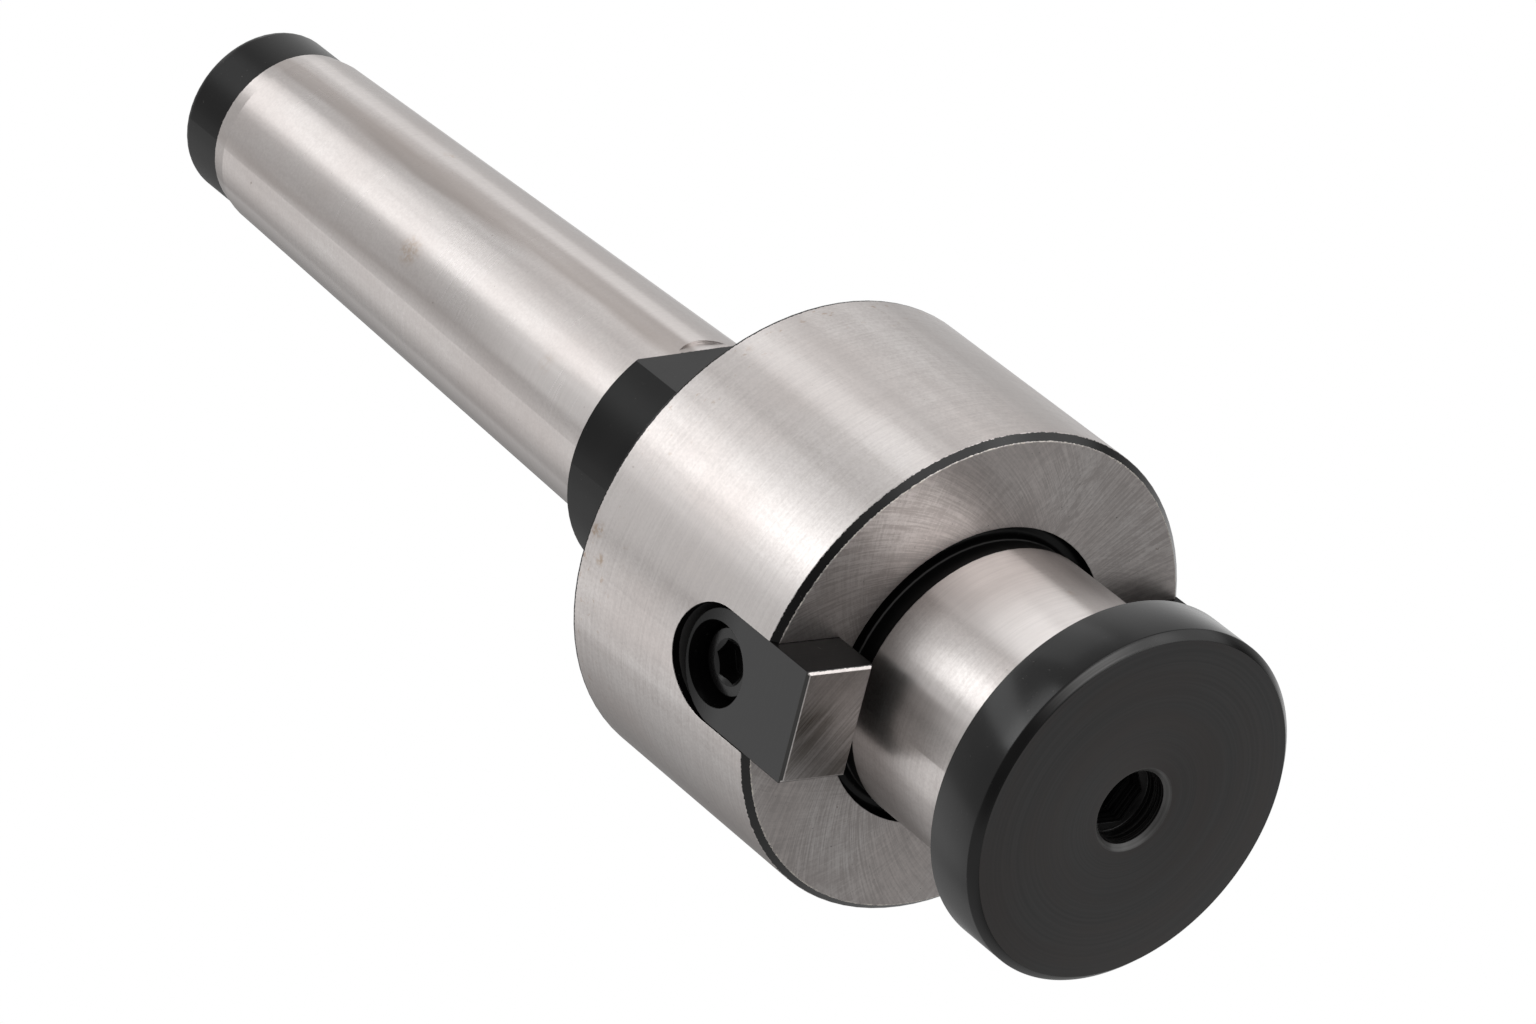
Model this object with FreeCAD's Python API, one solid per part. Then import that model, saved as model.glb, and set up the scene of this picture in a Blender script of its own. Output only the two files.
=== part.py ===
import FreeCAD, Part
import math
import os

# Shell mill arbor with a self-holding taper shank, a 40 mm pilot and two bolted drive keys.
# The arbor stands on its retaining screw, shank up. The origin is the centre of the screw
# head's outer face, +Z runs along the axis towards the shank, and the keys lie along X.
# Every size is in millimetres.

# Retaining screw
head_dia = 50.4
head_thick = 9.2
head_front_chamfer = 1.1
head_rear_chamfer = 0.4
entry_dia = 10.4
entry_depth = 4.0
entry_chamfer = 0.8
socket_flats = 8.0
socket_depth = 8.0
stem_dia = 20.0
stem_len = 34.0
stem_neck_len = 3.5
stem_neck_step = 1.6
stem_tip_chamfer = 1.8

# Pilot that centres the cutter
pilot_dia = 40.0
pilot_len = 26.5
pilot_chamfer = 1.0
pilot_relief_len = 2.4
pilot_relief_step = 0.35
stem_clearance = 0.08
screw_hole_spare = 3.0
screw_hole_mouth = 0.8
screw_drill_dia = 17.5
screw_drill_spare = 5.0

# Face groove round the foot of the pilot
groove_width = 1.6
groove_depth = 2.0
groove_round = 0.7

# Flange
flange_dia = 69.6
flange_len = 39.9
flange_front_chamfer = 0.95
flange_rear_chamfer = 0.9

# Collar with two wrench flats, cut by an end mill that runs out into the taper
collar_dia = 38.5
collar_len = 24.3
collar_chamfer = 0.3
flats_across = 30.6
flats_turn = 87.0
flat_cutter_dia = 14.0
flat_run_out = 1.9

# Taper shank, number 4 self-holding taper
gauge_dia = 31.267
gauge_offset = 6.5
taper_per_mm = 1 / 19.254
shank_len = 109.0
end_relief_dia = 25.6
end_relief_len = 8.8
end_relief_blend = 2.8
end_round = 1.6
drawbar_thread_dia = 16.0
drawbar_thread_depth = 34.0
drawbar_drill_dia = 14.0
drawbar_drill_spare = 5.0
drawbar_mouth_dia = 17.0
drawbar_mouth_depth = 3.0
centre_dia = 19.6
centre_angle = 60.0

# Drive keys and the slots they sit in
key_width = 16.0
key_thick = 10.5
key_len = 23.6
key_stand_out = 7.6
key_drop = 0.15
key_end_chamfer = 0.45
key_slot_side_gap = 0.05
key_slot_end_gap = 1.7

# Key screws
key_screw_setback = 6.2
key_screw_dia = 6.0
key_screw_len = 12.0
key_screw_head_dia = 10.0
key_screw_head_height = 6.0
key_screw_head_chamfer = 0.6
key_screw_head_sink = 2.2
key_screw_flats = 5.0
key_screw_socket_depth = 3.0
key_screw_socket_mouth = 0.25
key_screw_thread_gap = 0.04
key_screw_hole_gap = 0.3
key_screw_hole_spare = 1.2
counterbore_gap = 0.7

drill_point_angle = 118.0
cut_margin = 1.0

# Places along the axis
pilot_end_z = head_thick
face_z = pilot_end_z + pilot_len
flange_rear_z = face_z + flange_len
collar_rear_z = flange_rear_z + collar_len
gauge_z = collar_rear_z + gauge_offset
shank_end_z = collar_rear_z + shank_len
relief_z = shank_end_z - end_relief_len
blend_z = relief_z - end_relief_blend
stem_tip_z = pilot_end_z + stem_len

# Places across the axis
pilot_r = pilot_dia / 2
groove_r = pilot_r + groove_width
flange_r = flange_dia / 2
collar_r = collar_dia / 2
key_top_x = math.sqrt(flange_r**2 - (key_width / 2) ** 2) - key_drop
slot_floor_x = key_top_x - key_thick

# Places of the keys and their screws
key_front_z = face_z - key_stand_out
key_rear_z = key_front_z + key_len
key_screw_z = key_rear_z - key_screw_setback
key_seat_x = key_top_x - key_screw_head_sink - key_screw_head_height
key_screw_tip_x = key_seat_x - key_screw_len
counterbore_dia = key_screw_head_dia + 2 * counterbore_gap


def vector(x, y, z):
    return FreeCAD.Vector(x, y, z)


UP = vector(0, 0, 1)
INWARD = vector(-1, 0, 0)


def taper_r(z):
    """Radius of the shank's taper at height z."""
    return gauge_dia / 2 - (z - gauge_z) * taper_per_mm / 2


def cone_depth(radius, angle):
    """Depth of a cone with this included angle from its mouth of this radius to its point."""
    return radius / math.tan(math.radians(angle / 2))


class Profile:
    """Half outline of a turned piece, drawn in radius and height."""

    def __init__(self, r, z):
        self.here = vector(r, 0, z)
        self.start = self.here
        self.edges = []

    def line(self, r, z):
        there = vector(r, 0, z)
        self.edges.append(Part.LineSegment(self.here, there).toShape())
        self.here = there
        return self

    def quarter(self, r, z, centre_r, centre_z):
        """Quarter circle about a centre."""
        there = vector(r, 0, z)
        centre = vector(centre_r, 0, centre_z)
        radius = (there - centre).Length
        outward = (self.here - centre) + (there - centre)
        middle = centre + outward.normalize() * radius
        self.edges.append(Part.Arc(self.here, middle, there).toShape())
        self.here = there
        return self

    def turned(self):
        self.line(self.start.x, self.start.z)
        face = Part.Face(Part.Wire(self.edges))
        return face.revolve(vector(0, 0, 0), UP, 360)


def drilled_hole(radius, depth, base, direction):
    """A hole's space, with its drill point, from base along direction."""
    wall = Part.makeCylinder(radius, depth, base, direction)
    point = Part.makeCone(
        radius,
        0,
        cone_depth(radius, drill_point_angle),
        base + direction * depth,
        direction,
    )
    return wall.fuse(point).removeSplitter()


def hexagon(flats, depth, base, direction):
    """A hexagonal socket's space, from base along direction."""
    corner_r = flats / math.sqrt(3)
    points = []
    for corner in range(7):
        angle = math.radians(60 * corner)
        points.append(vector(corner_r * math.cos(angle), corner_r * math.sin(angle), 0))
    prism = Part.Face(Part.makePolygon(points)).extrude(UP * depth)
    prism.Placement = FreeCAD.Placement(base, FreeCAD.Rotation(UP, direction))
    return prism


def opposite(shape):
    """The same piece, half a turn round the axis."""
    turned = shape.copy()
    turned.rotate(vector(0, 0, 0), UP, 180)
    return turned


def export(shape, node):
    shape.exportStep("parts/" + node + ".step")


# Retaining screw: wide flat head, hexagon socket sunk under a round entry, threaded stem.
def make_retaining_screw():
    head_r = head_dia / 2
    stem_r = stem_dia / 2 - stem_clearance
    neck_r = stem_r - stem_neck_step
    neck_end_z = head_thick + stem_neck_len
    screw = (
        Profile(0, 0)
        .line(head_r - head_front_chamfer, 0)
        .line(head_r, head_front_chamfer)
        .line(head_r, head_thick - head_rear_chamfer)
        .line(head_r - head_rear_chamfer, head_thick)
        .line(neck_r, head_thick)
        .line(neck_r, neck_end_z - stem_neck_step)
        .line(stem_r, neck_end_z)
        .line(stem_r, stem_tip_z - stem_tip_chamfer)
        .line(stem_r - stem_tip_chamfer, stem_tip_z)
        .line(0, stem_tip_z)
        .turned()
    )
    entry_r = entry_dia / 2
    entry = (
        Profile(0, -cut_margin)
        .line(entry_r + entry_chamfer + cut_margin, -cut_margin)
        .line(entry_r, entry_chamfer)
        .line(entry_r, entry_depth)
        .line(0, entry_depth)
        .turned()
    )
    hexagon_start = vector(0, 0, entry_depth - cut_margin)
    socket = hexagon(socket_flats, socket_depth + cut_margin, hexagon_start, UP)
    pilot_hole = drilled_hole(socket_flats / 2, socket_depth, vector(0, 0, entry_depth), UP)
    return screw.cut(entry).cut(socket).cut(pilot_hole)


# Arbor blank: pilot, groove, flange, collar and taper turned from one bar.
def turn_arbor():
    relief_r = pilot_r - pilot_relief_step
    floor_z = face_z + groove_depth
    front_r = flange_r - flange_front_chamfer
    rear_r = flange_r - flange_rear_chamfer
    relief_end_r = end_relief_dia / 2
    return (
        Profile(0, pilot_end_z)
        .line(pilot_r - pilot_chamfer, pilot_end_z)
        .line(pilot_r, pilot_end_z + pilot_chamfer)
        .line(pilot_r, face_z - pilot_relief_len - pilot_relief_step)
        .line(relief_r, face_z - pilot_relief_len)
        .line(relief_r, floor_z - groove_round)
        .quarter(relief_r + groove_round, floor_z, relief_r + groove_round, floor_z - groove_round)
        .line(groove_r - groove_round, floor_z)
        .quarter(groove_r, floor_z - groove_round, groove_r - groove_round, floor_z - groove_round)
        .line(groove_r, face_z)
        .line(front_r, face_z)
        .line(flange_r, face_z + flange_front_chamfer)
        .line(flange_r, flange_rear_z - flange_rear_chamfer)
        .line(rear_r, flange_rear_z)
        .line(collar_r, flange_rear_z)
        .line(collar_r, collar_rear_z - collar_chamfer)
        .line(collar_r - collar_chamfer, collar_rear_z)
        .line(taper_r(collar_rear_z), collar_rear_z)
        .line(taper_r(blend_z), blend_z)
        .line(relief_end_r, relief_z)
        .line(relief_end_r, shank_end_z - end_round)
        .quarter(relief_end_r - end_round, shank_end_z, relief_end_r - end_round, shank_end_z - end_round)
        .line(0, shank_end_z)
        .turned()
    )


# Tapped hole in the pilot: the thread at its outside diameter, and the tapping drill below it.
def retaining_screw_hole():
    hole_r = stem_dia / 2
    depth = stem_len + screw_hole_spare
    mouth_r = hole_r + screw_hole_mouth
    start = vector(0, 0, pilot_end_z)
    mouth = Part.makeCone(mouth_r, hole_r, screw_hole_mouth, start, UP)
    thread = Part.makeCylinder(hole_r, depth, start, UP)
    drill = drilled_hole(screw_drill_dia / 2, depth + screw_drill_spare, start, UP)
    return drill.fuse([mouth, thread])


# Drawbar hole in the end of the shank: countersunk centre, plain mouth, thread, tapping drill.
def drawbar_hole():
    down = UP * -1
    mouth_r = drawbar_mouth_dia / 2
    centre_r = centre_dia / 2
    centre_depth = cone_depth(centre_r - mouth_r, centre_angle)
    drill_depth = drawbar_thread_depth + drawbar_drill_spare
    top = vector(0, 0, shank_end_z)
    centre = Part.makeCone(centre_r, mouth_r, centre_depth, top, down)
    mouth = Part.makeCylinder(mouth_r, centre_depth + drawbar_mouth_depth, top, down)
    thread = Part.makeCylinder(drawbar_thread_dia / 2, drawbar_thread_depth, top, down)
    drill = drilled_hole(drawbar_drill_dia / 2, drill_depth, top, down)
    return drill.fuse([centre, mouth, thread])


# One wrench flat: the metal beyond the flat, and the round end of the cutter's path.
def wrench_flat(turn):
    flat_x = flats_across / 2
    thick = collar_r - flat_x + cut_margin
    block = Part.makeBox(
        thick, 2 * collar_r, collar_len, vector(flat_x, -collar_r, flange_rear_z)
    )
    cutter_r = flat_cutter_dia / 2
    cutter_z = collar_rear_z + flat_run_out - cutter_r
    cutter = Part.makeCylinder(cutter_r, thick, vector(flat_x, 0, cutter_z), vector(1, 0, 0))
    cut = block.fuse(cutter)
    cut.rotate(vector(0, 0, 0), UP, turn)
    return cut


# A key's outline seen from outside: square in front, round behind.
def key_plan(x, front_z, round_z, radius):
    corner_a = vector(x, -radius, front_z)
    corner_b = vector(x, radius, front_z)
    rear_a = vector(x, -radius, round_z)
    rear_b = vector(x, radius, round_z)
    edges = [
        Part.LineSegment(corner_a, corner_b).toShape(),
        Part.LineSegment(corner_b, rear_b).toShape(),
        Part.Arc(rear_b, vector(x, 0, round_z + radius), rear_a).toShape(),
        Part.LineSegment(rear_a, corner_a).toShape(),
    ]
    return Part.Face(Part.Wire(edges))


def key_slot():
    slot_r = key_width / 2 + key_slot_side_gap
    round_z = key_rear_z + key_slot_end_gap - slot_r
    plan = key_plan(slot_floor_x, face_z - cut_margin, round_z, slot_r)
    return plan.extrude(vector(flange_r - slot_floor_x + cut_margin, 0, 0))


def key_screw_hole():
    hole_top = vector(slot_floor_x + cut_margin, 0, key_screw_z)
    depth = hole_top.x - key_screw_tip_x + key_screw_hole_spare
    return drilled_hole(key_screw_dia / 2, depth, hole_top, INWARD)


def make_arbor():
    slot = key_slot()
    tapped = key_screw_hole()
    cuts = [
        retaining_screw_hole(),
        drawbar_hole(),
        wrench_flat(flats_turn),
        wrench_flat(flats_turn + 180),
        slot,
        opposite(slot),
        tapped,
        opposite(tapped),
    ]
    arbor = turn_arbor()
    for cut in cuts:
        arbor = arbor.cut(cut)
    return arbor


# Drive key: ground square in front, round behind, counterbored for its screw.
def make_drive_key():
    half = key_width / 2
    plan = key_plan(slot_floor_x, key_front_z, key_rear_z - half, half)
    key = plan.extrude(vector(key_thick, 0, 0))
    front_edges = []
    for edge in key.Edges:
        box = edge.BoundBox
        if box.ZMax < key_front_z + key_end_chamfer:
            front_edges.append(edge)
    key = key.makeChamfer(key_end_chamfer, front_edges)
    top = vector(key_top_x + cut_margin, 0, key_screw_z)
    counterbore = Part.makeCylinder(counterbore_dia / 2, top.x - key_seat_x, top, INWARD)
    hole_r = key_screw_dia / 2 + key_screw_hole_gap
    hole = Part.makeCylinder(hole_r, key_thick + 2 * cut_margin, top, INWARD)
    return key.cut(counterbore).cut(hole)


# Key screw: socket cap screw, run in towards the axis.
def make_key_screw():
    head_r = key_screw_head_dia / 2
    shank_r = key_screw_dia / 2 - key_screw_thread_gap
    tip_z = -key_screw_len
    screw = (
        Profile(0, key_screw_head_height)
        .line(head_r - key_screw_head_chamfer, key_screw_head_height)
        .line(head_r, key_screw_head_height - key_screw_head_chamfer)
        .line(head_r, 0)
        .line(shank_r, 0)
        .line(shank_r, tip_z + key_screw_head_chamfer)
        .line(shank_r - key_screw_head_chamfer, tip_z)
        .line(0, tip_z)
        .turned()
    )
    socket_top = vector(0, 0, key_screw_head_height)
    socket = hexagon(key_screw_flats, key_screw_socket_depth, socket_top, UP * -1)
    mouth_r = key_screw_flats / math.sqrt(3) + key_screw_socket_mouth
    mouth = Part.makeCone(mouth_r, 0, mouth_r / 2, socket_top, UP * -1)
    screw = screw.cut(socket).cut(mouth)
    screw.Placement = FreeCAD.Placement(
        vector(key_seat_x, 0, key_screw_z), FreeCAD.Rotation(UP, vector(1, 0, 0))
    )
    return screw


os.makedirs("parts", exist_ok=True)

drive_key = make_drive_key()
key_screw = make_key_screw()

export(make_arbor(), "arbor")
export(make_retaining_screw(), "retaining_screw")
export(drive_key, "drive_key_near")
export(opposite(drive_key), "drive_key_far")
export(key_screw, "key_screw_near")
export(opposite(key_screw), "key_screw_far")
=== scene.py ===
import bpy
import math
from mathutils import Matrix, Vector


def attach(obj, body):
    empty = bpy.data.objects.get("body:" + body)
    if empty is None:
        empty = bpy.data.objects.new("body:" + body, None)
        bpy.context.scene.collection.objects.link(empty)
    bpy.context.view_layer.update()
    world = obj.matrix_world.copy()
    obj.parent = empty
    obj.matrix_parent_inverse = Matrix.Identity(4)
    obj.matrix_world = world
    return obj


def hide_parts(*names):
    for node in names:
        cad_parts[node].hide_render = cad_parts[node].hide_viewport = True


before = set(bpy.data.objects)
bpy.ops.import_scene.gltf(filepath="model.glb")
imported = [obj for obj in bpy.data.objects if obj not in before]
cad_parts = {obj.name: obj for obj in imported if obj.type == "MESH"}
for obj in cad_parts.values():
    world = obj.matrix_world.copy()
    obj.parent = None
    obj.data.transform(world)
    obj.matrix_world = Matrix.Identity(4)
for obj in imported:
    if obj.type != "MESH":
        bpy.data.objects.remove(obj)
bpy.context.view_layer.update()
scene = bpy.context.scene
scene.view_settings.view_transform = "Standard"

# Camera: a long lens about a metre away, below the screw head, looking up along the arbor with
# the near key in front. The arbor lies across the picture, its shank up to the left.
camera_data = bpy.data.cameras.new("camera")
camera_data.lens = 177.674
camera_data.clip_start = 0.05
camera_data.clip_end = 20
camera = bpy.data.objects.new("camera", camera_data)
camera.location = (0.61393, 0.40791, -0.60499)
camera.rotation_euler = [math.radians(turn) for turn in (146.1434, 34.8766, 164.0)]
scene.collection.objects.link(camera)
scene.camera = camera
bpy.context.view_layer.update()
camera_axes = camera.matrix_world.to_3x3()


# Studio: a white room with darker and brighter walls, soft panels round the arbor, and a pale
# floor under the head of its screw. The arbor stands on that head, so the floor moves with it.
class Wire:
    """One socket of a shader, used in sums as if it were a number."""

    def __init__(self, tree, socket=None):
        self.tree = tree
        self.socket = socket

    def node(self, kind, settings, inputs, output=0):
        """Adds a node: its settings first, then the values or links of its sockets."""
        added = self.tree.nodes.new(kind)
        for name, value in settings.items():
            setattr(added, name, value)
        for key, value in inputs.items():
            if isinstance(value, Wire):
                self.tree.links.new(value.socket, added.inputs[key])
            else:
                added.inputs[key].default_value = value
        return Wire(self.tree, added.outputs[output])

    def maths(self, operation, *values):
        return self.node("ShaderNodeMath", {"operation": operation}, dict(enumerate(values)))

    def __add__(self, other):
        return self.maths("ADD", self, other)

    __radd__ = __add__

    def __sub__(self, other):
        return self.maths("SUBTRACT", self, other)

    def __rsub__(self, other):
        return self.maths("SUBTRACT", other, self)

    def __mul__(self, other):
        return self.maths("MULTIPLY", self, other)

    __rmul__ = __mul__

    def __abs__(self):
        return self.maths("ABSOLUTE", self)

    def clamped(self):
        return self.node("ShaderNodeClamp", {}, {"Value": self})

    def rise(self, low, high):
        """Goes smoothly from 0 at low to 1 at high, or from 1 to 0 where high is the smaller."""
        settings = {"interpolation_type": "SMOOTHSTEP"}
        inputs = {"Value": self, "From Min": low, "From Max": high}
        return self.node("ShaderNodeMapRange", settings, inputs)

    def between(self, low, high, edge):
        """1 from low to high, with soft edges of this width."""
        half = edge / 2
        return self.rise(low - half, low + half) * self.rise(high + half, high - half)

    def vector(self, operation, other, output=0):
        settings = {"operation": operation}
        return self.node("ShaderNodeVectorMath", settings, {0: self, 1: other}, output)

    def length(self):
        return self.vector("LENGTH", (0, 0, 0), "Value")

    def blend(self, first, second):
        """A colour that goes from first at 0 to second at 1."""
        settings = {"data_type": "RGBA"}
        return self.node("ShaderNodeMix", settings, {0: self, 6: first, 7: second}, 2)

    def mix_shader(self, first, second):
        """A surface that goes from first at 0 to second at 1."""
        return self.node("ShaderNodeMixShader", {}, {0: self, 1: first, 2: second})


world = bpy.data.worlds.new("studio")
world.use_nodes = True
world.node_tree.nodes.clear()
scene.world = world
room = Wire(world.node_tree)
ray = room.node("ShaderNodeTexCoord", {}, {}, "Generated")


def ray_towards(right, up, back):
    """How nearly a ray runs towards a part of the room, given by the camera's own axes."""
    towards = camera_axes @ Vector((right, up, back)).normalized()
    return ray.vector("DOT_PRODUCT", tuple(towards), "Value")


backdrop = ray_towards(0.27, 0.55, -0.79).rise(0.6, 0.9)
left_panel = ray_towards(-0.93, -0.17, -0.32).rise(0.9, 1.0)
left_panel_top = ray_towards(-0.2, 0.73, 0.65).rise(0.12, 0.02)
low_behind = ray_towards(-0.1, -0.3, -0.95).rise(0.8, 1.07)
high_right = ray_towards(0.78, 0.5, -0.38).rise(0.7, 0.95)
low_right = ray_towards(0.77, -0.62, -0.1).rise(0.35, 0.85)
round_camera = ray_towards(-0.1, -0.3, 0.95).rise(0.8, 0.97)
low_side = ray_towards(0.3, -0.95, 0.0).rise(0.87, 0.99)
right_wall = ray_towards(0.7, 0.42, 0.58).rise(0.86, 0.98)
right_far = ray_towards(0.9, 0.42, 0.05).rise(0.9, 0.98)
plain_wall = 0.58
room_level = (
    plain_wall
    + 0.44 * backdrop
    + 0.46 * (left_panel * left_panel_top)
    - 0.32 * low_behind
    - 0.42 * high_right
    - 0.2 * low_right
    - 0.4 * round_camera
    - 0.25 * low_side
    + 1.2 * right_wall
    + 1.2 * right_far
)
light_of_room = 0.45
camera_ray = room.node("ShaderNodeLightPath", {}, {}, "Is Camera Ray")
mirror_ray = room.node("ShaderNodeLightPath", {}, {}, "Is Glossy Ray")
through_ray = room.node("ShaderNodeLightPath", {}, {}, "Is Transmission Ray")
sees_room = (mirror_ray + through_ray).clamped()
level_off_camera = sees_room * room_level + (1 - sees_room) * light_of_room
seen_level = camera_ray + (1 - camera_ray) * level_off_camera
white = (1.0, 1.0, 1.0, 1.0)
background = room.node("ShaderNodeBackground", {}, {"Color": white, "Strength": seen_level})
world_output = world.node_tree.nodes.new("ShaderNodeOutputWorld")
world.node_tree.links.new(background.socket, world_output.inputs["Surface"])

arbor_middle = Vector((0, 0, 0.09))
arbor_axis = Vector((0, 0, 1))
faintly_cool = (0.982, 0.995, 1.0)


def soft_panel(name, direction, distance, width, length, level, shift=0.0, tilt=0.0):
    """A lamp that faces the arbor's middle from a direction given by the camera's right, up and
    back, its length as near along the arbor as it can be. It is then shifted along its length,
    away from the shank's end, and tilted across it in degrees."""
    towards = camera_axes @ Vector(direction).normalized()
    along = (arbor_axis - towards * arbor_axis.dot(towards)).normalized()
    data = bpy.data.lights.new(name, "AREA")
    data.shape = "RECTANGLE"
    data.size = width
    data.size_y = length
    data.energy = level * math.pi * width * length
    data.color = faintly_cool
    lamp = bpy.data.objects.new(name, data)
    facing = Matrix((along.cross(towards), along, towards)).transposed().to_4x4()
    place = Matrix.Translation(arbor_middle + towards * distance - along * shift)
    lamp.matrix_world = place @ facing @ Matrix.Rotation(math.radians(-tilt), 4, "Z")
    scene.collection.objects.link(lamp)


soft_panel(
    "strip_panel", (-0.77, 0.635, 0.07),
    distance=1.0, width=0.28, length=1.2, level=1.15, tilt=25.0,
)
soft_panel(
    "overhead_panel", (-0.24, 0.955, -0.17),
    distance=0.5, width=0.26, length=0.2, level=0.55, shift=0.06,
)
soft_panel(
    "shank_panel", (-0.45, 0.89, -0.02),
    distance=1.0, width=0.2, length=0.36, level=1.0, shift=-0.3,
)
soft_panel(
    "front_panel", (-0.62, 0.6, 0.5),
    distance=1.0, width=0.7, length=0.4, level=1.8,
)

floor_r = 2.5
below_head = 0.0003
bpy.ops.object.select_all(action="DESELECT")
bpy.ops.mesh.primitive_circle_add(
    vertices=96, radius=floor_r, fill_type="NGON", location=(0, 0, -below_head)
)
floor = bpy.context.object
floor.name = "floor"
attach(floor, "screw_body")
floor.visible_diffuse = False
floor.visible_glossy = False
floor.visible_transmission = False
floor.visible_shadow = False
floor_finish = bpy.data.materials.new("pale_floor")
floor_finish.use_nodes = True
floor_finish.node_tree.nodes.clear()
paint = Wire(floor_finish.node_tree)
floor_point = paint.node("ShaderNodeTexCoord", {}, {}, "Object")
grain = paint.node("ShaderNodeTexNoise", {}, {"Vector": floor_point, "Scale": 60.0, "Detail": 3.0})
pale = grain.blend((0.86, 0.86, 0.86, 1), (0.9, 0.9, 0.9, 1))
lit_floor = paint.node("ShaderNodeBsdfDiffuse", {}, {"Color": pale})
glow = paint.node("ShaderNodeEmission", {}, {"Color": white, "Strength": 1.0})
share_of_glow = 0.45
shadowed = paint.node("ShaderNodeMixShader", {}, {0: share_of_glow, 1: lit_floor, 2: glow})
clear = paint.node("ShaderNodeBsdfTransparent", {}, {})
from_below = paint.node("ShaderNodeNewGeometry", {}, {}, "Backfacing")
far_away = floor_point.length().rise(0.5, 2.2)
unseen = paint.maths("MAXIMUM", from_below, far_away)
floor_shader = unseen.mix_shader(shadowed, clear)
floor_output = floor_finish.node_tree.nodes.new("ShaderNodeOutputMaterial")
floor_finish.node_tree.links.new(floor_shader.socket, floor_output.inputs["Surface"])
floor.data.materials.append(floor_finish)


# Arbor: one piece of hardened steel, turned, blackened all over and then ground bright on the
# pilot, the flange's face and wall, and the taper. The collar, grooves and chamfers stay black.
def begin_finish(name):
    """An empty material and the wire that its nodes are added to."""
    material = bpy.data.materials.new(name)
    material.use_nodes = True
    material.node_tree.nodes.clear()
    return material, Wire(material.node_tree)


def finish_with(material, surface):
    output = material.node_tree.nodes.new("ShaderNodeOutputMaterial")
    material.node_tree.links.new(surface.socket, output.inputs["Surface"])


def place_on_part(paint):
    """Where a point lies, in millimetres: its vector, x, y, z and distance from the axis."""
    in_metres = paint.node("ShaderNodeTexCoord", {}, {}, "Object")
    point = in_metres.vector("MULTIPLY", (1000, 1000, 1000))
    parts = [point.node("ShaderNodeSeparateXYZ", {}, {0: point}, axis) for axis in "XYZ"]
    across = point.vector("MULTIPLY", (1, 1, 0)).length()
    return [point, *parts, across]


def joined(x, y, z):
    """A vector from its parts, at least one of which is a wire."""
    wire = next(part for part in (x, y, z) if isinstance(part, Wire))
    return wire.node("ShaderNodeCombineXYZ", {}, {0: x, 1: y, 2: z})


def grain_of(point, scale, detail=2.0, roughness=0.5):
    """Noise between 0 and 1, its cells this many to a millimetre, or so many along each axis."""
    if not isinstance(scale, tuple):
        scale = (scale, scale, scale)
    stretched = point.vector("MULTIPLY", scale)
    inputs = {"Vector": stretched, "Scale": 1.0, "Detail": detail, "Roughness": roughness}
    return point.node("ShaderNodeTexNoise", {}, inputs)


def coat_of(metallic, colour, roughness, height, anisotropy, edge_tint=1.0, ior=1.43):
    """A surface from its colour, roughness and marks, whose heights are in millimetres. Its
    highlights are stretched across the turning or grinding marks."""
    edge_softness = 0.00012
    mm = 0.001
    soft_edges = colour.node("ShaderNodeBevel", {"samples": 4}, {"Radius": edge_softness})
    bump_inputs = {"Strength": 1.0, "Distance": mm, "Height": height, "Normal": soft_edges}
    normal = colour.node("ShaderNodeBump", {}, bump_inputs)
    inputs = {
        "Base Color": colour,
        "Metallic": metallic,
        "Roughness": roughness,
        "IOR": ior,
        "Specular Tint": (edge_tint, edge_tint, edge_tint, 1),
        "Anisotropic": anisotropy,
        "Anisotropic Rotation": 0.25,
        "Normal": normal,
    }
    return colour.node("ShaderNodeBsdfPrincipled", {}, inputs)


def blackened(point, lines, overlay=0, overlay_colour=(0, 0, 0, 1), dull=0.0, ior=1.43):
    """Black oxide on turned steel, with the lines that the turning left, and an overlay colour
    blended in where asked, which carries real stains and wear and also painted light and shade.
    """
    thick_oxide = (0.003, 0.0029, 0.003, 1)
    thin_oxide = (0.007, 0.0066, 0.0065, 1)
    bare_speck = (0.09, 0.086, 0.082, 1)
    cloud = grain_of(point, 0.09, detail=4.0)
    specks = grain_of(point, 2.2).rise(0.71, 0.78)
    oxide = cloud.rise(0.3, 0.7).blend(thick_oxide, thin_oxide)
    colour = (specks * 0.5).blend(oxide, bare_speck)
    if isinstance(overlay, Wire):
        colour = overlay.blend(colour, overlay_colour)
    roughness = 0.13 + dull + 0.09 * lines + 0.05 * cloud + overlay * 0.12
    line_height = lines * 0.004
    return coat_of(0.0, colour, roughness, line_height, anisotropy=0.35, ior=ior)


shaded_steel = (0.5, 0.462, 0.447, 1)


def ground(point, lines, marks=(), duller=0, anisotropy=0.6, contrast=0.35, relief=0.002):
    """Bright ground steel, with the lines that the grinding left."""
    clean_steel = (0.72, 0.684, 0.667, 1)
    warm_steel = (0.66, 0.608, 0.586, 1)
    cloud = grain_of(point, (0.07, 0.07, 0.045), detail=4.0)
    streaks = grain_of(point, (0.3, 0.3, 0.012), detail=3.0)
    fine = grain_of(point, 2.2, detail=3.0, roughness=0.7)
    warm = cloud.rise(0.35, 0.68).blend(clean_steel, warm_steel)
    grey = lines.rise(0.3, 0.72) * contrast + fine.rise(0.3, 0.7) * 0.4
    shade = (grey + streaks.rise(0.4, 0.7) * 0.3 - 0.05).clamped()
    colour = shade.blend(warm, shaded_steel)
    for amount, mark_colour in marks:
        colour = amount.blend(colour, mark_colour)
    roughness = 0.25 + 0.06 * lines + 0.05 * cloud + duller
    waves = grain_of(point, (0.3, 0.3, 0.02))
    height = lines * relief + waves * 0.025
    return coat_of(1.0, colour, roughness, height, anisotropy, edge_tint=0.7)


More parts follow.
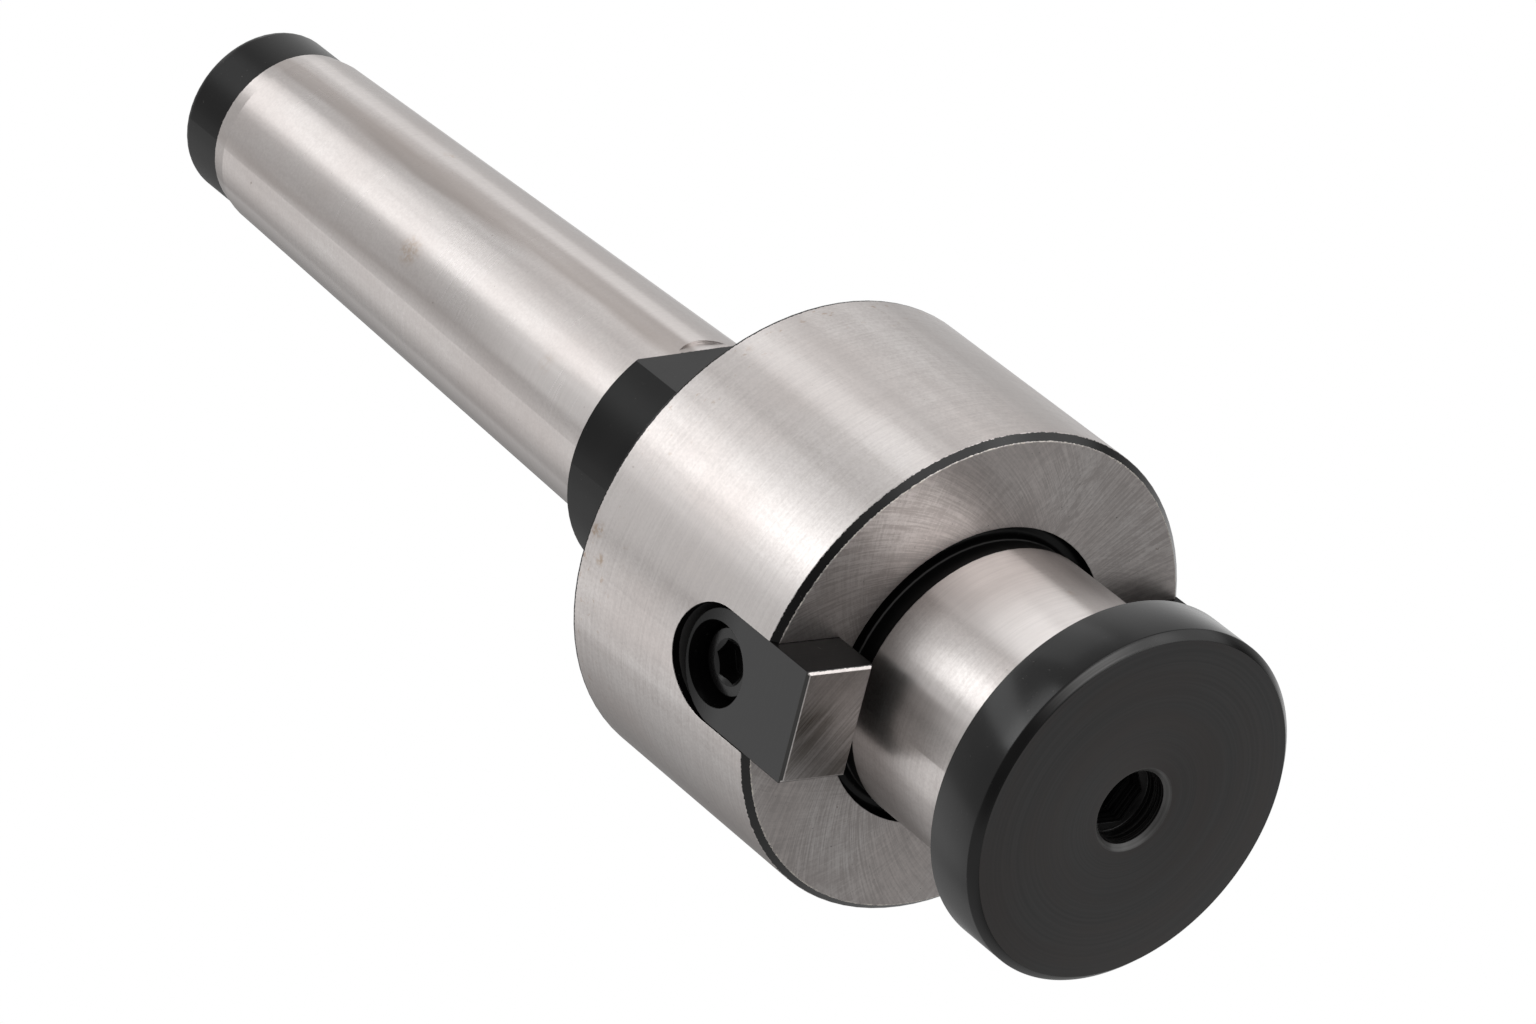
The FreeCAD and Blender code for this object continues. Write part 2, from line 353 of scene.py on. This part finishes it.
arbor_finish, paint = begin_finish("arbor_steel")
point, x, y, z, radius = place_on_part(paint)
turn = paint.maths("ARCTAN2", y, x)

# Where the black was ground off, by the arbor's sizes in millimetres.
pilot_r = 20.0
pilot_front = 9.2
relief_r = 19.65
groove_r = 21.6
flange_r = 34.8
flange_front = 35.7
flange_rear = 75.6
collar_rear = 99.9
inside_taper_r = 10.95
outside_taper_r = 16.0
end_relief = 200.1
shank_end = 208.9
centre_r = 9.8
crisp = 0.05
ragged = grain_of(point, 2.5, detail=3.0, roughness=0.6) - 0.5
rough_z = z + ragged * 0.35
at_face = (z + ragged * 0.25).between(flange_front - 0.5, flange_front + 0.06, 0.03)
on_face = at_face * radius.rise(groove_r - 0.04, groove_r)
along_flange = rough_z.between(flange_front + 0.9, flange_rear - 1.15, crisp)
on_flange = radius.rise(flange_r - 0.12, flange_r - 0.1) * along_flange
along_pilot = rough_z.between(pilot_front + 0.95, flange_front - 2.6, crisp)
on_pilot = radius.rise(pilot_r - 0.12, pilot_r - 0.1) * along_pilot
along_taper = rough_z.between(collar_rear + 0.05, end_relief - 0.05, crisp)
on_taper = along_taper * radius.between(inside_taper_r, outside_taper_r, 0.1)
at_centre = z.rise(shank_end - 2.3, shank_end - 2.2)
on_centre = at_centre * radius.rise(centre_r + 0.02, centre_r - 0.02)
bright = (on_face + on_flange + on_pilot + on_taper + on_centre).clamped()

# Grinding lines: rings on the walls, and arcs on the face that change slant from side to side.
wall_lines = grain_of(point, (0.06, 0.06, 2.2), detail=4.0, roughness=0.7)
log_radius = paint.maths("LOGARITHM", radius, math.e)
face_lines = 0
for slant, density, from_turn, to_turn, depth in (
    (1.0, 80.0, -1.6, 1.9, 1.2),
    (-0.1, 95.0, 1.7, 3.4, 1.0),
    (-0.9, 70.0, -3.4, 3.4, 0.5),
):
    swing = (turn + log_radius * slant) * density
    arcs = grain_of(joined(swing, x * 0.14, y * 0.14), 1.0, detail=3.0, roughness=0.65) - 0.5
    patch = grain_of(point, (0.08, 0.08, density), detail=1.0).rise(0.3, 0.65)
    sector = turn.between(from_turn, to_turn, 0.5) * depth
    face_lines = face_lines + arcs * (0.35 + patch * 0.65) * sector
face_lines = (face_lines * 1.7 + 0.5).clamped()
lines = on_face * face_lines + (1 - on_face) * wall_lines

# Tarnish along the taper, in bands that are also painted shade where its reflection is darker,
# pits, and the burr that the grinding left round the face, painted bright as a glint on that edge
# too.
streak_edge = grain_of(point, (0.2, 0.2, 0.02), detail=3.0)
# The bands are tarnish and also painted shade: they lie at set turns round the taper, where its
# reflection is darker, and drift a little along it.
tarnish_and_shade_turn = turn + (streak_edge - 0.5) * 0.3 + (z - 150) * 0.001
faint_band = tarnish_and_shade_turn.between(0.08, 0.2, 0.12) * z.rise(110.0, 150.0)
tarnish_and_shade_bands = tarnish_and_shade_turn.between(1.13, 1.36, 0.12) + faint_band * 0.6
tarnish_and_shade = on_taper * tarnish_and_shade_bands * (streak_edge * 1.4)
pits = grain_of(point, 0.9, detail=3.0).rise(0.75, 0.78)
broken = grain_of(point, 1.6, detail=3.0).rise(0.38, 0.62)
# Painted highlight: the burr's thin ring round the face's edge is painted brighter than the ground
# steel, as the glint of that edge.
rim_burr_and_glint = on_face * radius.between(33.72, 34.0, 0.08) * broken
tarnish_and_shade_colour = (0.36, 0.318, 0.297, 1)
pit_brown = (0.2, 0.15, 0.12, 1)
burr_and_glint_colour = (0.95, 0.9, 0.83, 1)
marks = [
    (on_taper * 0.25, shaded_steel),
    (tarnish_and_shade.clamped() * 0.9, tarnish_and_shade_colour),
    (pits * 0.6, pit_brown),
    (rim_burr_and_glint, burr_and_glint_colour),
]

# Rust where the ground steel was handled: each stain's place, reach and strength, then flecks.
rust = (0.38, 0.25, 0.14, 1)
dark_rust = (0.36, 0.22, 0.12, 1)
for stain_at, reach, strength in (
    ((34.4, 5.1, 73.2), 1.6, 0.7),
    ((34.7, 1.7, 71.0), 1.2, 0.6),
    ((17.3, 30.2, 72.6), 0.9, 0.4),
    ((0.1, 14.2, 163.5), 1.2, 0.8),
    ((13.1, 6.2, 151.1), 2.8, 0.5),
    ((14.1, 6.1, 115.8), 1.8, 0.5),
    ((0.2, 20.0, 20.8), 1.0, 0.4),
):
    patchy = grain_of(point, 1.3, detail=4.0, roughness=0.6).rise(0.38, 0.62)
    nearness = point.vector("DISTANCE", stain_at, "Value").rise(reach, reach * 0.2)
    marks.append((nearness * patchy * strength, rust))
fleck_grain = grain_of(point, (0.8, 0.8, 1.3), detail=4.0, roughness=0.6).rise(0.62, 0.7)
marks.append((on_flange * z.rise(64.0, 73.0) * fleck_grain * 0.45, dark_rust))

# Painted highlights and painted shade: bands along the ground walls, from turn to turn, some
# painted lighter where the walls' reflections are brighter and some darker where they are darker.
painted_highlight_steel = (0.96, 0.91, 0.888, 1)
painted_shade_steel = (0.46, 0.426, 0.412, 1)
foot_of_taper = on_taper * z.rise(140.0, 115.0)
band_turn = turn + (streak_edge - 0.5) * 0.08
for wall, from_turn, to_turn, amount, band_colour in (
    (on_pilot, 0.22, 0.4, 0.6, painted_highlight_steel),
    (on_pilot, 0.86, 1.5, 0.95, painted_highlight_steel),
    (on_pilot, 1.56, 1.86, 0.55, painted_shade_steel),
    (on_taper, -0.85, -0.46, 0.7, painted_highlight_steel),
    (foot_of_taper, 0.2, 0.46, 0.7, painted_highlight_steel),
    (on_taper, 1.42, 1.6, 0.45, painted_highlight_steel),
    (on_taper, 1.66, 1.95, 0.3, painted_shade_steel),
    (on_flange, 0.18, 0.45, 0.5, painted_highlight_steel),
    (on_flange, 0.91, 1.0, 0.4, painted_shade_steel),
    (on_flange, 1.03, 1.16, 0.4, painted_highlight_steel),
    (on_flange, 1.2, 1.3, 0.45, painted_shade_steel),
    (on_flange, 1.66, 1.87, 0.5, painted_shade_steel),
):
    band = band_turn.between(from_turn, to_turn, 0.1) * (1.15 - wall_lines * 0.6) * amount
    marks.append(((wall * band).clamped(), band_colour))

duller = on_face * 0.1 - on_taper * 0.02 + rim_burr_and_glint * 0.2
contrast = 0.35 + on_face * 0.4 - on_taper * 0.22
relief = 0.002 + on_face * 0.006 - on_taper * 0.001
steel = ground(point, lines, marks, duller, contrast=contrast, relief=relief)

# The black that is left: oiled outside, dusty in the slots, the groove and behind the flange. The
# slot walls are painted paler, partly dust and partly painted light, and the groove's fillet
# carries a painted highlight.
turned_rings = grain_of(joined(radius, x * 0.02, y * 0.02), (4.0, 1.0, 1.0))
black_lines = wall_lines * 0.5 + turned_rings * 0.5
inside_flange = radius.rise(33.7, 33.6) * z.rise(33.0, 33.1)
behind_flange = z.rise(flange_rear - 0.9, flange_rear - 0.8)
dusty_places = (inside_flange + behind_flange).clamped()
# Painted light: the slot walls are painted paler grey, partly as dust and partly to lift them out
# of the slot's shade.
in_slot = radius.between(22.0, 34.4, 0.1) * z.between(36.8, 60, 0.1)
# Painted highlight: a thin grey line round the fillet at the foot of the pilot, where its curve
# would catch the lamps.
at_foot_of_pilot = z.between(flange_front + 0.15, flange_front + 0.45, 0.2)
fillet_painted_highlight = radius.between(relief_r - 0.05, relief_r + 0.1, 0.06) * at_foot_of_pilot
dust_and_painted_light = in_slot * 0.3 + fillet_painted_highlight * 0.7
dust_and_highlight_grey = (0.2, 0.196, 0.194, 1)
oiled = blackened(point, black_lines)
dusty_and_painted_light = blackened(point, black_lines, dust_and_painted_light, dust_and_highlight_grey, dull=0.13, ior=1.3)
black = dusty_places.mix_shader(oiled, dusty_and_painted_light)
finish_with(arbor_finish, bright.mix_shader(black, steel))
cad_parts["arbor"].data.materials[0] = arbor_finish


# Drive keys: two hardened blocks, blackened, with only the square front end ground bright after.
# Each is held in its slot by one socket cap screw.
key_finish, paint = begin_finish("drive_key_steel")
point, x, y, z = place_on_part(paint)[:4]
key_front = 28.1
key_side = 8.0
key_screw_z = 45.5
counterbore_r = 5.7

# The ground end: slanted lines, smoked in the middle, and worn round its edges.
worn = (grain_of(point, 1.5, detail=3.0, roughness=0.6) - 0.5) * 0.25
outer_edge = abs(x).rise(33.0, 33.3)
side_edge = abs(y).rise(key_side - 0.5, key_side - 0.4)
worn_z = z + worn * side_edge + outer_edge * (1 - side_edge) * 0.2
on_end = worn_z.rise(key_front + 0.32, key_front + 0.28)
slanted = x * 0.8 + y * 0.6
along_lines = joined(slanted, y * 0.06, x * 0.06)
end_lines = grain_of(along_lines, (2.6, 1.0, 1.0), detail=3.0, roughness=0.65)
smoky = grain_of(joined(slanted, y * 0.4, z), 0.16, detail=3.0).rise(0.3, 0.62)
off_edges = z.rise(key_front + 0.04, key_front + 0.01)
from_middle = joined(x - 30, y + 1, 0).length()
where_smoked = 0.75 + from_middle.rise(5.0, 1.0) * 0.5 - y.rise(1.0, 5.0) * 0.5
smoke_lines = smoky * 0.6 + end_lines.rise(0.35, 0.7) * 0.5
smoked = (off_edges * smoke_lines * where_smoked).clamped()
smoke = (0.17, 0.145, 0.12, 1)
steel = ground(point, end_lines, [(smoked, smoke)], duller=0.05, anisotropy=0.0)

# The black: milled and handled outside, darker on the sides and round the screw, and darker towards
# the round end as painted shade.
milled = grain_of(joined(z, x * 0.04, y * 0.04), (3.0, 1.0, 1.0))
from_screw = joined(0, y, z - key_screw_z).length()
outside_bore = from_screw.rise(counterbore_r + 0.02, counterbore_r + 0.06)
# Painted shade: towards the round end the handled grey fades and the darker black of the sides
# spreads, standing in for the slot's shadow on the key.
round_end_painted_shade = z.rise(42.0, 50.0)
handled_with_painted_shade = (milled * 0.2 + 0.8) * outside_bore * (1 - round_end_painted_shade * 0.7)
handled_black = (0.0335, 0.033, 0.0335, 1)
rubbed_edge = (0.058, 0.056, 0.054, 1)
beside_end = z.rise(key_front + 0.56, key_front + 0.44)
outside = blackened(point, milled, handled_with_painted_shade, beside_end.blend(handled_black, rubbed_edge))
sides = blackened(point, milled, dull=0.15, ior=1.15)
on_side = abs(y).rise(key_side - 0.07, key_side - 0.03)
dark = (on_side + round_end_painted_shade * 0.75).clamped()
black = dark.mix_shader(outside, sides)
finish_with(key_finish, on_end.mix_shader(black, steel))
for side in ("near", "far"):
    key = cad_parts["drive_key_" + side]
    key.data.materials[0] = key_finish


# Key screws: one socket cap screw in each key, forged and blackened. Its head is sunk below the
# key's outside.
cap_finish, paint = begin_finish("cap_screw_steel")
point = place_on_part(paint)[0]
forged = grain_of(point, 1.2)
finish_with(cap_finish, blackened(point, forged))
for side in ("near", "far"):
    cap_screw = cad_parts["key_screw_" + side]
    cap_screw.data.materials[0] = cap_finish


# Retaining screw: a wide flat head turned in one piece with its stem and blackened all over. The
# stem has a right-hand thread of 20 mm by 2.5 mm, undercut below the head and chamfered at its tip.
def deselect():
    bpy.ops.object.select_all(action="DESELECT")


def take_up(piece):
    """Leaves this piece alone selected and active."""
    deselect()
    piece.select_set(True)
    bpy.context.view_layer.objects.active = piece


def turned_solid(name, outline, sides):
    """A turned solid: a flat round face is carried along its outline, radius by height in mm."""
    mm = 0.001
    last_r, last_z = outline[0]
    deselect()
    bpy.ops.mesh.primitive_circle_add(
        vertices=sides, radius=last_r * mm, fill_type="NGON", location=(0, 0, last_z * mm)
    )
    solid = bpy.context.object
    solid.name = name
    bpy.ops.object.transform_apply(location=True, rotation=True, scale=True)
    bpy.ops.object.mode_set(mode="EDIT")
    bpy.ops.mesh.select_mode(type="FACE")
    bpy.ops.mesh.select_all(action="SELECT")
    for r, z in outline[1:]:
        step = (0, 0, (z - last_z) * mm)
        bpy.ops.mesh.extrude_region_move(TRANSFORM_OT_translate={"value": step})
        spread = (r / last_r, r / last_r, 1)
        bpy.ops.transform.resize(value=spread, center_override=(0, 0, z * mm))
        last_r, last_z = r, z
    bpy.ops.mesh.select_all(action="SELECT")
    bpy.ops.mesh.normals_make_consistent(inside=False)
    bpy.ops.object.mode_set(mode="OBJECT")
    return solid


def apply_modifier(piece, kind, **settings):
    take_up(piece)
    added = piece.modifiers.new(kind.lower(), kind)
    for name, value in settings.items():
        setattr(added, name, value)
    bpy.ops.object.modifier_apply(modifier=added.name)


def combine(piece, operation, other):
    """Cuts, joins or crosses a piece with another, which is used up."""
    apply_modifier(piece, "BOOLEAN", operation=operation, object=other, solver="EXACT")
    bpy.data.objects.remove(other)


def smooth_round(piece):
    """Smooth shading over the round walls, and none over the edges between them."""
    take_up(piece)
    bpy.ops.object.shade_smooth_by_angle(angle=math.radians(24))


def threaded_rod(name, crest_r, pitch, depth, low, high):
    """A right-hand thread with 60 degree flanks and flat crests, cut off square at low and high.
    One turn's profile is drawn as an open line, swept round, and its turns are then merged."""
    mm = 0.001
    crest = pitch / 8
    foot = crest + 2 * depth * math.tan(math.radians(30))
    start = low - 1.5 * pitch
    middle_r = (crest_r - depth / 2) * mm
    deselect()
    bpy.ops.mesh.primitive_plane_add(size=1, rotation=(math.pi / 2, 0, 0))
    rod = bpy.context.object
    rod.name = name
    rod.scale = (depth * mm, crest * mm, 1)
    rod.location = (middle_r, 0, start * mm)
    bpy.ops.object.transform_apply(location=True, rotation=True, scale=True)
    bpy.ops.object.mode_set(mode="EDIT")
    bpy.ops.mesh.select_mode(type="VERT")
    bpy.ops.mesh.select_all(action="DESELECT")
    bpy.ops.object.mode_set(mode="OBJECT")
    for corner in rod.data.vertices:
        corner.select = corner.co.x < middle_r
    bpy.ops.object.mode_set(mode="EDIT")
    bpy.ops.transform.resize(value=(1, 1, foot / crest), center_override=(0, 0, start * mm))
    bpy.ops.mesh.delete(type="EDGE_FACE")
    bpy.ops.object.mode_set(mode="OBJECT")
    for corner in rod.data.vertices:
        corner.select = corner.co.x < middle_r and corner.co.z > start * mm
    bpy.ops.object.mode_set(mode="EDIT")
    root = (0, 0, (pitch - foot) * mm)
    bpy.ops.mesh.extrude_region_move(TRANSFORM_OT_translate={"value": root})
    bpy.ops.object.mode_set(mode="OBJECT")
    apply_modifier(
        rod,
        "SCREW",
        axis="Z",
        angle=2 * math.pi,
        screw_offset=pitch * mm,
        iterations=math.ceil((high - low) / pitch) + 3,
        steps=72,
        render_steps=72,
    )
    bpy.ops.object.mode_set(mode="EDIT")
    bpy.ops.mesh.select_all(action="SELECT")
    bpy.ops.mesh.remove_doubles(threshold=0.00001)
    for cut_z, below, above in ((low, True, False), (high, False, True)):
        bpy.ops.mesh.select_all(action="SELECT")
        bpy.ops.mesh.bisect(
            plane_co=(0, 0, cut_z * mm),
            plane_no=(0, 0, 1),
            use_fill=True,
            clear_inner=below,
            clear_outer=above,
            threshold=0.000001,
        )
    bpy.ops.mesh.select_all(action="SELECT")
    bpy.ops.mesh.normals_make_consistent(inside=False)
    bpy.ops.object.mode_set(mode="OBJECT")
    return rod


# The head, with the round entry in its middle and the undercut behind it.
entry_r = 5.2
entry_edge = 0.8
entry_floor = 4.0
mouth_r = 6.0
face_r = 24.1
head_r = 25.2
head_rear = 9.2
neck_r = 8.32
head_outline = [
    (entry_r, entry_floor),
    (entry_r, entry_edge),
    (mouth_r, 0.0),
    (face_r, 0.0),
    (head_r, 1.1),
    (head_r, 8.8),
    (24.8, head_rear),
    (neck_r, head_rear),
    (neck_r, 11.6),
]
retaining_screw = turned_solid("retaining_screw_threaded", head_outline, 256)
rounded_edge = 0.00008
apply_modifier(
    retaining_screw,
    "BEVEL",
    width=rounded_edge,
    segments=2,
    limit_method="ANGLE",
    angle_limit=math.radians(30),
    harden_normals=False,
)

# The stem: a threaded rod crossed with the shape that the stem was turned to.
stem_r = 9.92
stem_tip = 43.2
stem_outline = [
    (8.3, 10.5), (8.3, 11.1), (stem_r, 12.7), (stem_r, 41.4), (8.12, stem_tip), (4.0, stem_tip)
]
stem = threaded_rod("stem", stem_r, pitch=2.5, depth=1.5, low=9.8, high=44.0)
combine(stem, "INTERSECT", turned_solid("stem_outline", stem_outline, 144))
combine(retaining_screw, "UNION", stem)

# The socket: an 8 mm hexagon, sunk from the floor of the entry, and its drill point.
socket_flats = 0.008
socket_depth = 0.009
socket_middle = 0.0075
deselect()
bpy.ops.mesh.primitive_cylinder_add(
    vertices=6,
    radius=socket_flats / math.sqrt(3),
    depth=socket_depth,
    location=(0, 0, socket_middle),
    rotation=(0, 0, math.radians(30)),
)
hexagon = bpy.context.object
bpy.ops.object.transform_apply(location=True, rotation=True, scale=True)
combine(retaining_screw, "DIFFERENCE", hexagon)
drill_outline = [(0.01, 14.4), (4.0, 12.0), (4.0, 3.9)]
drill_point = turned_solid("drill_point", drill_outline, 48)
combine(retaining_screw, "DIFFERENCE", drill_point)
smooth_round(retaining_screw)

# Its black: turned rings on the flat face, a painted highlight along the front chamfer, and a mouth
# round the entry painted lighter, partly wear and partly painted highlight.
screw_finish, paint = begin_finish("retaining_screw_black")
point, x, y, z, radius = place_on_part(paint)
turn = paint.maths("ARCTAN2", y, x)
rings = grain_of(joined(radius, x * 0.02, y * 0.02), (3.0, 1.0, 1.0), detail=3.0, roughness=0.6)
rim_lines = grain_of(point, (0.05, 0.05, 2.6), detail=4.0, roughness=0.7)
on_disc = z.rise(0.04, 0.02)
turning = on_disc * rings + (1 - on_disc) * rim_lines
grey_black = (0.0375, 0.0368, 0.037, 1)
grey_ring = (0.0495, 0.0478, 0.0475, 1)
brown_black = (0.048, 0.0405, 0.038, 1)
wear_and_highlight_grey = (0.38, 0.374, 0.368, 1)
wide_rings = grain_of(joined(radius, x * 0.05, y * 0.05), (0.25, 1.0, 1.0))
disc_grey = rings.rise(0.3, 0.7).blend(grey_black, grey_ring)
disc_colour = (wide_rings.rise(0.35, 0.7) * 0.6).blend(disc_grey, brown_black)
ring_modulation = rings * 0.6 + 0.3
at_rim = z.between(0.15, 0.95, 0.2) * radius.rise(face_r - 0.2, face_r)
# Painted highlight: a grey streak along the front chamfer over a set range of turns, where the
# chamfer catches the lamps.
rim_painted_highlight = at_rim * turn.between(0.75, 1.3, 0.45) * ring_modulation
# The entry's mouth is painted lighter all round, partly wear and partly a painted highlight.
round_mouth = radius.between(entry_r - 0.05, mouth_r + 0.05, 0.05)
mouth_wear_and_highlight = z.between(0.03, entry_edge - 0.03, 0.06) * round_mouth * ring_modulation
in_entry = z.rise(entry_edge, entry_edge + 0.1) * radius.rise(entry_r + 0.15, entry_r + 0.05)
bore_rings = in_entry * grain_of(point, (0.04, 0.04, 3.2)).rise(0.45, 0.6)
wear_and_highlight = (rim_painted_highlight + mouth_wear_and_highlight * 0.8 + bore_rings * 0.2).clamped()
overlay_colour = wear_and_highlight.blend(disc_colour, wear_and_highlight_grey)
finish_with(screw_finish, blackened(point, turning, (on_disc + wear_and_highlight).clamped(), overlay_colour))
retaining_screw.data.materials.clear()
retaining_screw.data.materials.append(screw_finish)
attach(retaining_screw, "screw_body")
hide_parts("retaining_screw")


# Drawbar thread: the 16 mm by 2 mm right-hand thread tapped in the end of the shank. Its ridges
# stand in the hole that the CAD arbor has at the thread's outside diameter.
thread_r = 8.0
thread_wall_r = 7.99
thread_low = 175.0
thread_high = 203.5
sleeve_outline = [(thread_wall_r, thread_low), (thread_wall_r, thread_high)]
drawbar_thread = turned_solid("drawbar_thread", sleeve_outline, 96)
tap_low = thread_low - 1.0
tap_high = thread_high + 1.0
tap = threaded_rod("tap", thread_r, pitch=2.0, depth=1.08, low=tap_low, high=tap_high)
combine(drawbar_thread, "DIFFERENCE", tap)
smooth_round(drawbar_thread)
thread_finish, paint = begin_finish("thread_steel")
point, *_, radius = place_on_part(paint)
tapping_lines = grain_of(point, (0.2, 0.2, 4.0))
near_crest = radius.rise(7.1, 6.95)
thread_black = blackened(point, tapping_lines)
thread_steel = ground(point, tapping_lines)
finish_with(thread_finish, near_crest.mix_shader(thread_black, thread_steel))
drawbar_thread.data.materials.clear()
drawbar_thread.data.materials.append(thread_finish)
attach(drawbar_thread, "arbor_body")
